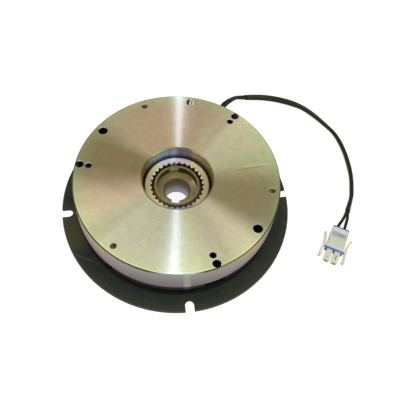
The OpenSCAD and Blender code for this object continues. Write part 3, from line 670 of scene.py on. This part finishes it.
def drive_steel():
    """Hub of turned steel: thin olive zinc outside, bare blue-grey steel in the bore, the recess wall painted
    dark as shade with a painted highlight at the back, and the tooth ends painted dark as shade.
    """
    f = Finish("hub_zinc", metallic=1.0, anisotropic=0.15)
    marks = f.rings(2200.0)
    zinc = f.mixed(f.between(marks, 0.25, 0.8), shade(186, 173, 120), shade(148, 135, 86))
    zinc = f.mixed(f.between(f.noise(220.0, 3.0), 0.4, 0.7, 0.0, 0.5), zinc, shade(156, 138, 98))
    recess = f.where_all(f.by_height(RECESS_FLOOR + 0.2, RECESS_FLOOR + 0.8),
                         f.by_height(HUB_TOP - 0.6, HUB_TOP - 1.2),
                         f.by_radius(RECESS_R + 1.0, RECESS_R + 0.6))
    # the recess wall painted dark as shade, with a painted highlight near its top at the back
    glint = f.where_all(f.sector(92, 6, 12), f.by_height(HUB_TOP - 5, HUB_TOP - 3, 0.3, 1.0))
    wall_shade_and_glint = f.mixed(glint, shade(44, 41, 28), shade(216, 218, 208))
    zinc = f.mixed(f.where_all(recess, 0.95), zinc, wall_shade_and_glint)
    # painted shade: the ring of tooth ends round the spigot, dark
    tooth_end_shade = f.where_all(f.by_radius(SPIGOT_R + 0.1, SPIGOT_R + 0.4),
                       f.by_height(TOOTH_ENDS + 0.6, TOOTH_ENDS + 0.2), 0.95)
    zinc = f.mixed(tooth_end_shade, zinc, shade(26, 22, 15))
    steel = f.mixed(f.by_height(8, 18, smooth=True), shade(148, 155, 168), shade(104, 82, 40))
    steel = f.mixed(f.between(f.noise(500.0, 3.0), 0.4, 0.75, 0.0, 0.4), steel, shade(70, 66, 60))
    f.colour(f.mixed(f.by_radius(HUB_BORE_R + 0.4, HUB_BORE_R + 1.0), steel, zinc))
    f.roughness(f.between(f.noise(300.0, 2.0), 0.3, 0.7, 0.44, 0.54))
    f.bump(marks, 5e-6)
    f.turned()
    return f


def collar_alloy():
    """Pale turned alloy: a tooth gap painted dark as shade, the front teeth painted darker as reflection, and
    painted highlights at the back and on the tooth tips there.
    """
    f = Finish("collar_alloy", metallic=1.0, anisotropic=0.5)
    marks = f.rings(3000.0)
    base = f.mixed(f.between(marks, 0.3, 0.75), shade(255, 246, 192), shade(242, 228, 166))
    # a painted highlight: paler at the back
    base = f.mixed(f.where_all(f.sector(88, 18, 30), 0.8), base, shade(246, 240, 250))
    teeth = f.by_radius(TOOTH_ROOT_R + 1.5, TOOTH_ROOT_R + 0.9)
    # painted reflection: the teeth at the front darker and bluish
    base = f.mixed(f.where_all(teeth, f.sector(270, 22, 18)), base, shade(172, 168, 180))
    # painted shade: down in each tooth gap, near black
    gap_shade = f.where_all(teeth, f.by_height(COLLAR_TOP - 1.4, COLLAR_TOP - 2.2), 0.95)
    base = f.mixed(gap_shade, base, shade(28, 26, 22))
    # a painted highlight: a white line at the back
    base = f.mixed(f.sector(93, 3, 7), base, shade(255, 255, 255))
    # painted highlights on the tooth tips at the back left and the back right
    both_sides = f.where_any(f.sector(140, 16, 8), f.sector(25, 24, 8))
    tips = f.where_all(f.by_radius(TOOTH_TIP_R + 0.9, TOOTH_TIP_R + 0.4),
                       f.by_height(COLLAR_TOP - 1.4, COLLAR_TOP - 1.0), both_sides)
    f.colour(f.mixed(tips, base, shade(255, 253, 226)))
    f.painted_glint(tips)
    f.roughness(f.between(f.noise(400.0, 2.0), 0.3, 0.7, 0.4, 0.5))
    f.bump(marks, 5e-6)
    f.turned()
    return f


def screw_end(name):
    """Cut end of a zinc-coated screw: brownish gold with dark spots, its broken edge and sides painted dark as
    shade.
    """
    f = Finish(name, metallic=1.0)
    marks = f.noise(1400.0, 3.0)
    base = f.mixed(f.between(marks, 0.35, 0.65), shade(172, 150, 92), shade(110, 94, 52))
    base = f.mixed(f.between(f.noise(620.0, 2.0), 0.44, 0.56, 0.0, 0.85), base, shade(52, 44, 26))
    # painted shade: the broken edge and the sides darker
    f.colour(f.mixed(f.facing_up(), shade(40, 34, 20), base))
    f.roughness(f.between(marks, 0.3, 0.7, 0.3, 0.48))
    f.bump(marks, 2e-5)
    return f


def earth_zinc():
    """Slotted screw under yellow zinc: a painted dark reflection beside the slot, painted highlights in the
    slot and at one edge, painted shade below the face.
    """
    f = Finish("screw_yellow")
    marks = f.noise(1600.0, 3.0)
    outwards = level_way(EARTH_SCREW_WAY)
    from_middle = f.vector("SUBTRACT", f.place, tuple(outwards * (EARTH_SCREW_AT * MM)))
    left = f.vector("DOT_PRODUCT", from_middle, (-outwards.y, outwards.x, 0.0))

    def strip(low, high, past, end):
        """Mask: from high to past across the slot, fading from low and to end."""
        return f.where_all(f.between(left, low * MM, high * MM), f.between(left, end * MM, past * MM))

    top = f.mixed(f.between(marks, 0.35, 0.7), shade(226, 230, 182), shade(188, 196, 148))
    # a painted dark reflection beside the slot
    top = f.mixed(f.where_all(strip(0.4, 0.8, 2.6, 3.1), 0.9), top, shade(46, 52, 28))
    # painted shade: the head below the face, dark
    base = f.mixed(f.by_height(BODY_TOP - 1.6, BODY_TOP - 1.0), shade(30, 28, 22), top)
    # painted highlights: in the slot and along one edge
    right_edge = f.where_all(strip(-2.9, -2.6, -2.1, -1.7), 0.8)
    slot_glints = f.where_any(strip(-0.3, 0.0, 0.5, 0.8), right_edge)
    f.colour(f.mixed(slot_glints, base, shade(250, 250, 252)))
    f.painted_glint(slot_glints)
    f.roughness(f.between(marks, 0.3, 0.7, 0.24, 0.4))
    f.bump(marks, 1e-5)
    return f


def nylon_natural():
    """Natural nylon, milky: creamy at its ends and arms, bluish where the wire seal shows through."""
    f = Finish("nylon_natural", specular_ior_level=0.5, alpha=0.94)
    way = level_way(CONNECTOR_WAY)
    from_end = f.vector("SUBTRACT", f.place, tuple(CONNECTOR_AT * MM))
    along = f.vector("DOT_PRODUCT", from_end, tuple(way))
    across = f.math("ABSOLUTE", f.vector("DOT_PRODUCT", from_end, (-way.y, way.x, 0.0)))
    clouds = f.between(f.noise(160.0, 2.0), 0.35, 0.65)
    cream = f.mixed(clouds, shade(213, 212, 182), shade(202, 201, 170))
    thin = f.where_all(f.between(along, 3.4 * MM, 4.4 * MM), f.between(along, 19.5 * MM, 16.5 * MM))
    thin = f.where_all(thin, f.between(across, 6.8 * MM, 5.6 * MM, smooth=True), 0.7)
    base = f.mixed(thin, cream, shade(192, 197, 172))
    seal = f.where_all(f.between(along, 3.8 * MM, 4.6 * MM), f.between(along, 10.5 * MM, 6 * MM, smooth=True))
    seal = f.where_all(seal, f.between(across, 6.4 * MM, 5 * MM, smooth=True))
    seal = f.where_all(seal, f.between(f.noise(420.0, 2.0), 0.3, 0.62, 0.45, 1.0), 0.95)
    f.colour(f.mixed(seal, base, shade(122, 141, 170)))
    f.roughness(f.between(f.noise(900.0, 2.0), 0.3, 0.7, 0.26, 0.4))
    f.bump(f.noise(1500.0, 2.0), 5e-6)
    return f


def moulded(name, colour, dark):
    """Moulded plastic or resin with faint flow marks."""
    f = Finish(name, specular_ior_level=0.45)
    flow = f.noise(62.5, 3.0, swirl=0.8)
    f.colour(f.mixed(f.between(flow, 0.35, 0.7), colour, dark))
    f.roughness(f.between(f.noise(500.0, 2.0), 0.3, 0.7, 0.32, 0.5))
    f.bump(f.noise(1000.0, 2.0), 6e-6)
    return f


def enamelled_copper():
    """Coil of enamelled wire: fine turns that run round the shaft, one above the other."""
    f = Finish("enamelled_copper", metallic=0.7, coat_weight=0.6)
    turns_per_metre = 9000.0
    turns = f.math("SINE", f.math("MULTIPLY", f.height, turns_per_metre))
    layers = f.math("SINE", f.math("MULTIPLY", f.radius, turns_per_metre))
    wires = f.math("ADD", turns, layers)
    f.colour(f.mixed(f.between(wires, -1.2, 1.4), shade(96, 44, 18), shade(196, 110, 58)))
    f.roughness(f.between(f.noise(300.0, 2.0), 0.3, 0.7, 0.25, 0.4))
    f.bump(wires, 4e-5)
    return f


def friction_lining():
    """Pressed friction lining: grey-brown, with dark grains and short brass-coloured fibres."""
    f = Finish("friction_lining", specular_ior_level=0.3)
    grains = f.spots(900.0)
    fibres = f.noise(700.0, 3.0, place=f.stretched((1.0, 0.2, 1.0)), rough=0.7)
    base = f.mixed(f.between(grains, 0.15, 0.5), shade(44, 40, 36), shade(92, 84, 74))
    f.colour(f.mixed(f.between(fibres, 0.62, 0.7), base, shade(170, 140, 84)))
    f.roughness(f.between(f.noise(300.0, 2.0), 0.3, 0.7, 0.75, 0.9))
    f.bump(grains, 4e-5)
    return f


def floor_paper():
    """White paper under the brake, which the camera and reflections see evenly lit."""
    material = bpy.data.materials.new("floor_white")
    material.use_nodes = True
    nodes, links = material.node_tree.nodes, material.node_tree.links
    nodes.clear()
    paper = nodes.new("ShaderNodeBsdfDiffuse")
    paper.inputs["Color"].default_value = (FLOOR_WHITE, FLOOR_WHITE, FLOOR_WHITE, 1.0)
    dim = nodes.new("ShaderNodeBsdfDiffuse")
    dim.inputs["Color"].default_value = (FLOOR_DIM, FLOOR_DIM, FLOOR_DIM, 1.0)
    glow = nodes.new("ShaderNodeEmission")
    glow.inputs["Strength"].default_value = FLOOR_GLOW
    lit = nodes.new("ShaderNodeAddShader")
    links.new(dim.outputs[0], lit.inputs[0])
    links.new(glow.outputs[0], lit.inputs[1])
    rays = nodes.new("ShaderNodeLightPath")
    seen = rays.outputs["Is Camera Ray"]
    for kind in ("Is Glossy Ray", "Is Transmission Ray"):
        either = nodes.new("ShaderNodeMath")
        either.operation = "MAXIMUM"
        links.new(seen, either.inputs[0])
        links.new(rays.outputs[kind], either.inputs[1])
        seen = either.outputs[0]
    choice = nodes.new("ShaderNodeMixShader")
    links.new(seen, choice.inputs[0])
    links.new(paper.outputs[0], choice.inputs[1])
    links.new(lit.outputs[0], choice.inputs[2])
    output = nodes.new("ShaderNodeOutputMaterial")
    links.new(choice.outputs[0], output.inputs["Surface"])
    return material


def lay_floor():
    """A plain pale floor, just below the flange."""
    shape = bmesh.new()
    bmesh.ops.create_grid(shape, x_segments=1, y_segments=1, size=FLOOR_HALF * MM)
    mesh = bpy.data.meshes.new("floor")
    shape.to_mesh(mesh)
    shape.free()
    floor = bpy.data.objects.new("floor", mesh)
    scene.collection.objects.link(floor)
    floor.location.z = -FLOOR_GAP * MM
    mesh.materials.append(floor_paper())


def softbox(name, azimuth, elevation, distance, width, height, brightness, colour):
    """A flat lamp that looks at the middle of the top face; brightness is its own, 1 is white."""
    data = bpy.data.lights.new(name, "AREA")
    data.shape = "RECTANGLE"
    data.size = width
    data.size_y = height
    data.energy = brightness * math.pi * width * height
    data.color = colour
    lamp = bpy.data.objects.new(name, data)
    scene.collection.objects.link(lamp)
    rise = math.radians(elevation)
    way = level_way(azimuth) * math.cos(rise) + Vector((0.0, 0.0, math.sin(rise)))
    lamp.location = Vector((0.0, 0.0, BODY_TOP * MM)) + way * distance
    lamp.rotation_mode = "QUATERNION"
    lamp.rotation_quaternion = (-way).to_track_quat("-Z", "Y")
    lamp.visible_camera = False


# lamps: name, azimuth, elevation, distance, width and height in metres, brightness, colour
LAMPS = (
    ("overhead", 261, 86, 0.75, 0.36, 0.36, 1.3, WHITE),
    ("glint", 261.5, 84, 0.9, 0.024, 0.07, 62.0, (0.66, 0.8, 1.75)),
    ("back_glint", 81.8, 17, 0.9, 0.013, 0.07, 190.0, (0.68, 0.99, 1.9)),
    ("left_front", 202, 50, 0.75, 0.36, 0.36, 4.1, WHITE),
    ("left", 157, 50, 0.75, 0.36, 0.36, 1.3, WHITE),
    ("right_front", 337, 50, 0.75, 0.36, 0.36, 3.3, WHITE),
    ("front", 292, 50, 0.75, 0.36, 0.36, 1.9, WHITE),
    ("low_right", 315, 22, 0.75, 0.42, 0.42, 1.8, WHITE),
    ("window", 45, 22, 0.75, 0.42, 0.42, 1.5, WHITE),
)


def light_studio():
    """Lamps stood round the place of the picture, in grey surroundings that the camera sees white."""
    world = bpy.data.worlds.new("studio")
    scene.world = world
    world.use_nodes = True
    nodes, links = world.node_tree.nodes, world.node_tree.links
    seen = nodes.new("ShaderNodeMix")
    seen.data_type = "RGBA"
    links.new(nodes.new("ShaderNodeLightPath").outputs["Is Camera Ray"], seen.inputs[0])
    seen.inputs[Finish.COLOUR_A].default_value = SURROUNDINGS
    seen.inputs[Finish.COLOUR_B].default_value = (*WHITE, 1.0)
    links.new(seen.outputs[Finish.COLOUR_OUT], nodes["Background"].inputs["Color"])
    nodes["Background"].inputs["Strength"].default_value = 1.0
    for lamp in LAMPS:
        softbox(*lamp)


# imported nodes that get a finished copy: slot, width of the broken edges
FINISHED = {
    "magnet_body": ("zinc_turned", 0.3),
    "flange_plate": ("flange_black", 0.25),
    "armature_plate": ("armature_steel", 0.25),
    "toothed_collar": ("collar_alloy", 0.12),
    "drive_hub": ("hub_zinc", 0.12),
    "spacer_sleeves": ("sleeve_zinc", 0.2),
    "flange_screws": ("screw_zinc", 0.25),
    "earth_screw": ("screw_yellow", 0.25),
    "lead_grommet": ("grommet_rubber", 0.4),
    "connector_housing": ("nylon_natural", 0.25),
    "wire_seal": ("seal_blue", 0.3),
    "front_seal": ("seal_blue", 0.25),
    "compression_springs": ("spring_steel", 0.1),
}

place_camera()

# the lead's pieces and the finished copies
wire_a, line_a = make_wire("wire_left", 1, "lead_wire_a")
wire_b, line_b = make_wire("wire_right", -1, "lead_wire_b")
sleeve = make_sleeve()
pieces = {node: finished_copy(node, edge) for node, (slot, edge) in FINISHED.items()}
springs = pieces["compression_springs"]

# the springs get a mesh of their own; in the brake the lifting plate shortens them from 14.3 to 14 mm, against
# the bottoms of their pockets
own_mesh(springs)

# finishes of the wires, the sleeve and the finished copies, then of the nodes shown as they were packed
insulation = rubber("wire_insulation", shade(28, 25, 8), shade(50, 46, 20), 0.5, 0.1)
dress(wire_a, insulation)
dress(wire_b, insulation)
dress(sleeve, rubber("sleeving", shade(32, 30, 10), shade(56, 53, 26), 0.42, 0.12))
for node, finish in (
        ("magnet_body", zinc_turned()),
        ("flange_plate", flange_black()),
        ("armature_plate", turned_metal("armature_steel", shade(88, 88, 78), shade(50, 50, 44), 0.42)),
        ("toothed_collar", collar_alloy()),
        ("drive_hub", drive_steel()),
        ("spacer_sleeves", plain_metal("sleeve_zinc", shade(176, 164, 128), shade(130, 118, 86), 0.4)),
        ("flange_screws", screw_end("screw_zinc")),
        ("earth_screw", earth_zinc()),
        ("lead_grommet", rubber("grommet_rubber", shade(30, 30, 30), shade(48, 48, 46), 0.55)),
        ("connector_housing", nylon_natural()),
        ("wire_seal", rubber("wire_seal_blue", shade(52, 80, 176), shade(70, 98, 194), 0.45)),
        ("front_seal", rubber("front_seal_blue", shade(66, 110, 192), shade(88, 132, 206), 0.45)),
        ("compression_springs", plain_metal("spring_steel", shade(150, 150, 150), shade(96, 94, 90), 0.34))):
    dress(pieces[node], finish)
lining = friction_lining()
for node, finish in (
        ("coil_bobbin", moulded("bobbin_plastic", shade(34, 34, 36), shade(52, 52, 52))),
        ("coil_winding", enamelled_copper()),
        ("coil_potting", moulded("potting_resin", shade(60, 34, 24), shade(84, 52, 36))),
        ("coil_tails", rubber("tail_insulation", shade(34, 33, 26), shade(52, 50, 40), 0.42)),
        ("lining_upper", lining),
        ("lining_lower", lining),
        ("carrier_disc", turned_metal("carrier_steel", shade(150, 148, 144), shade(112, 108, 102), 0.4)),
        ("rotor_rivets", plain_metal("rivet_alloy", shade(210, 206, 196), shade(160, 154, 144), 0.36)),
        ("contact_sleeves", plain_metal("contact_tin", shade(206, 204, 198), shade(158, 156, 150), 0.3))):
    dress(frame["nodes"][node], finish)

# the picture's surroundings
lay_floor()
light_studio()
scene.view_settings.view_transform = "Standard"
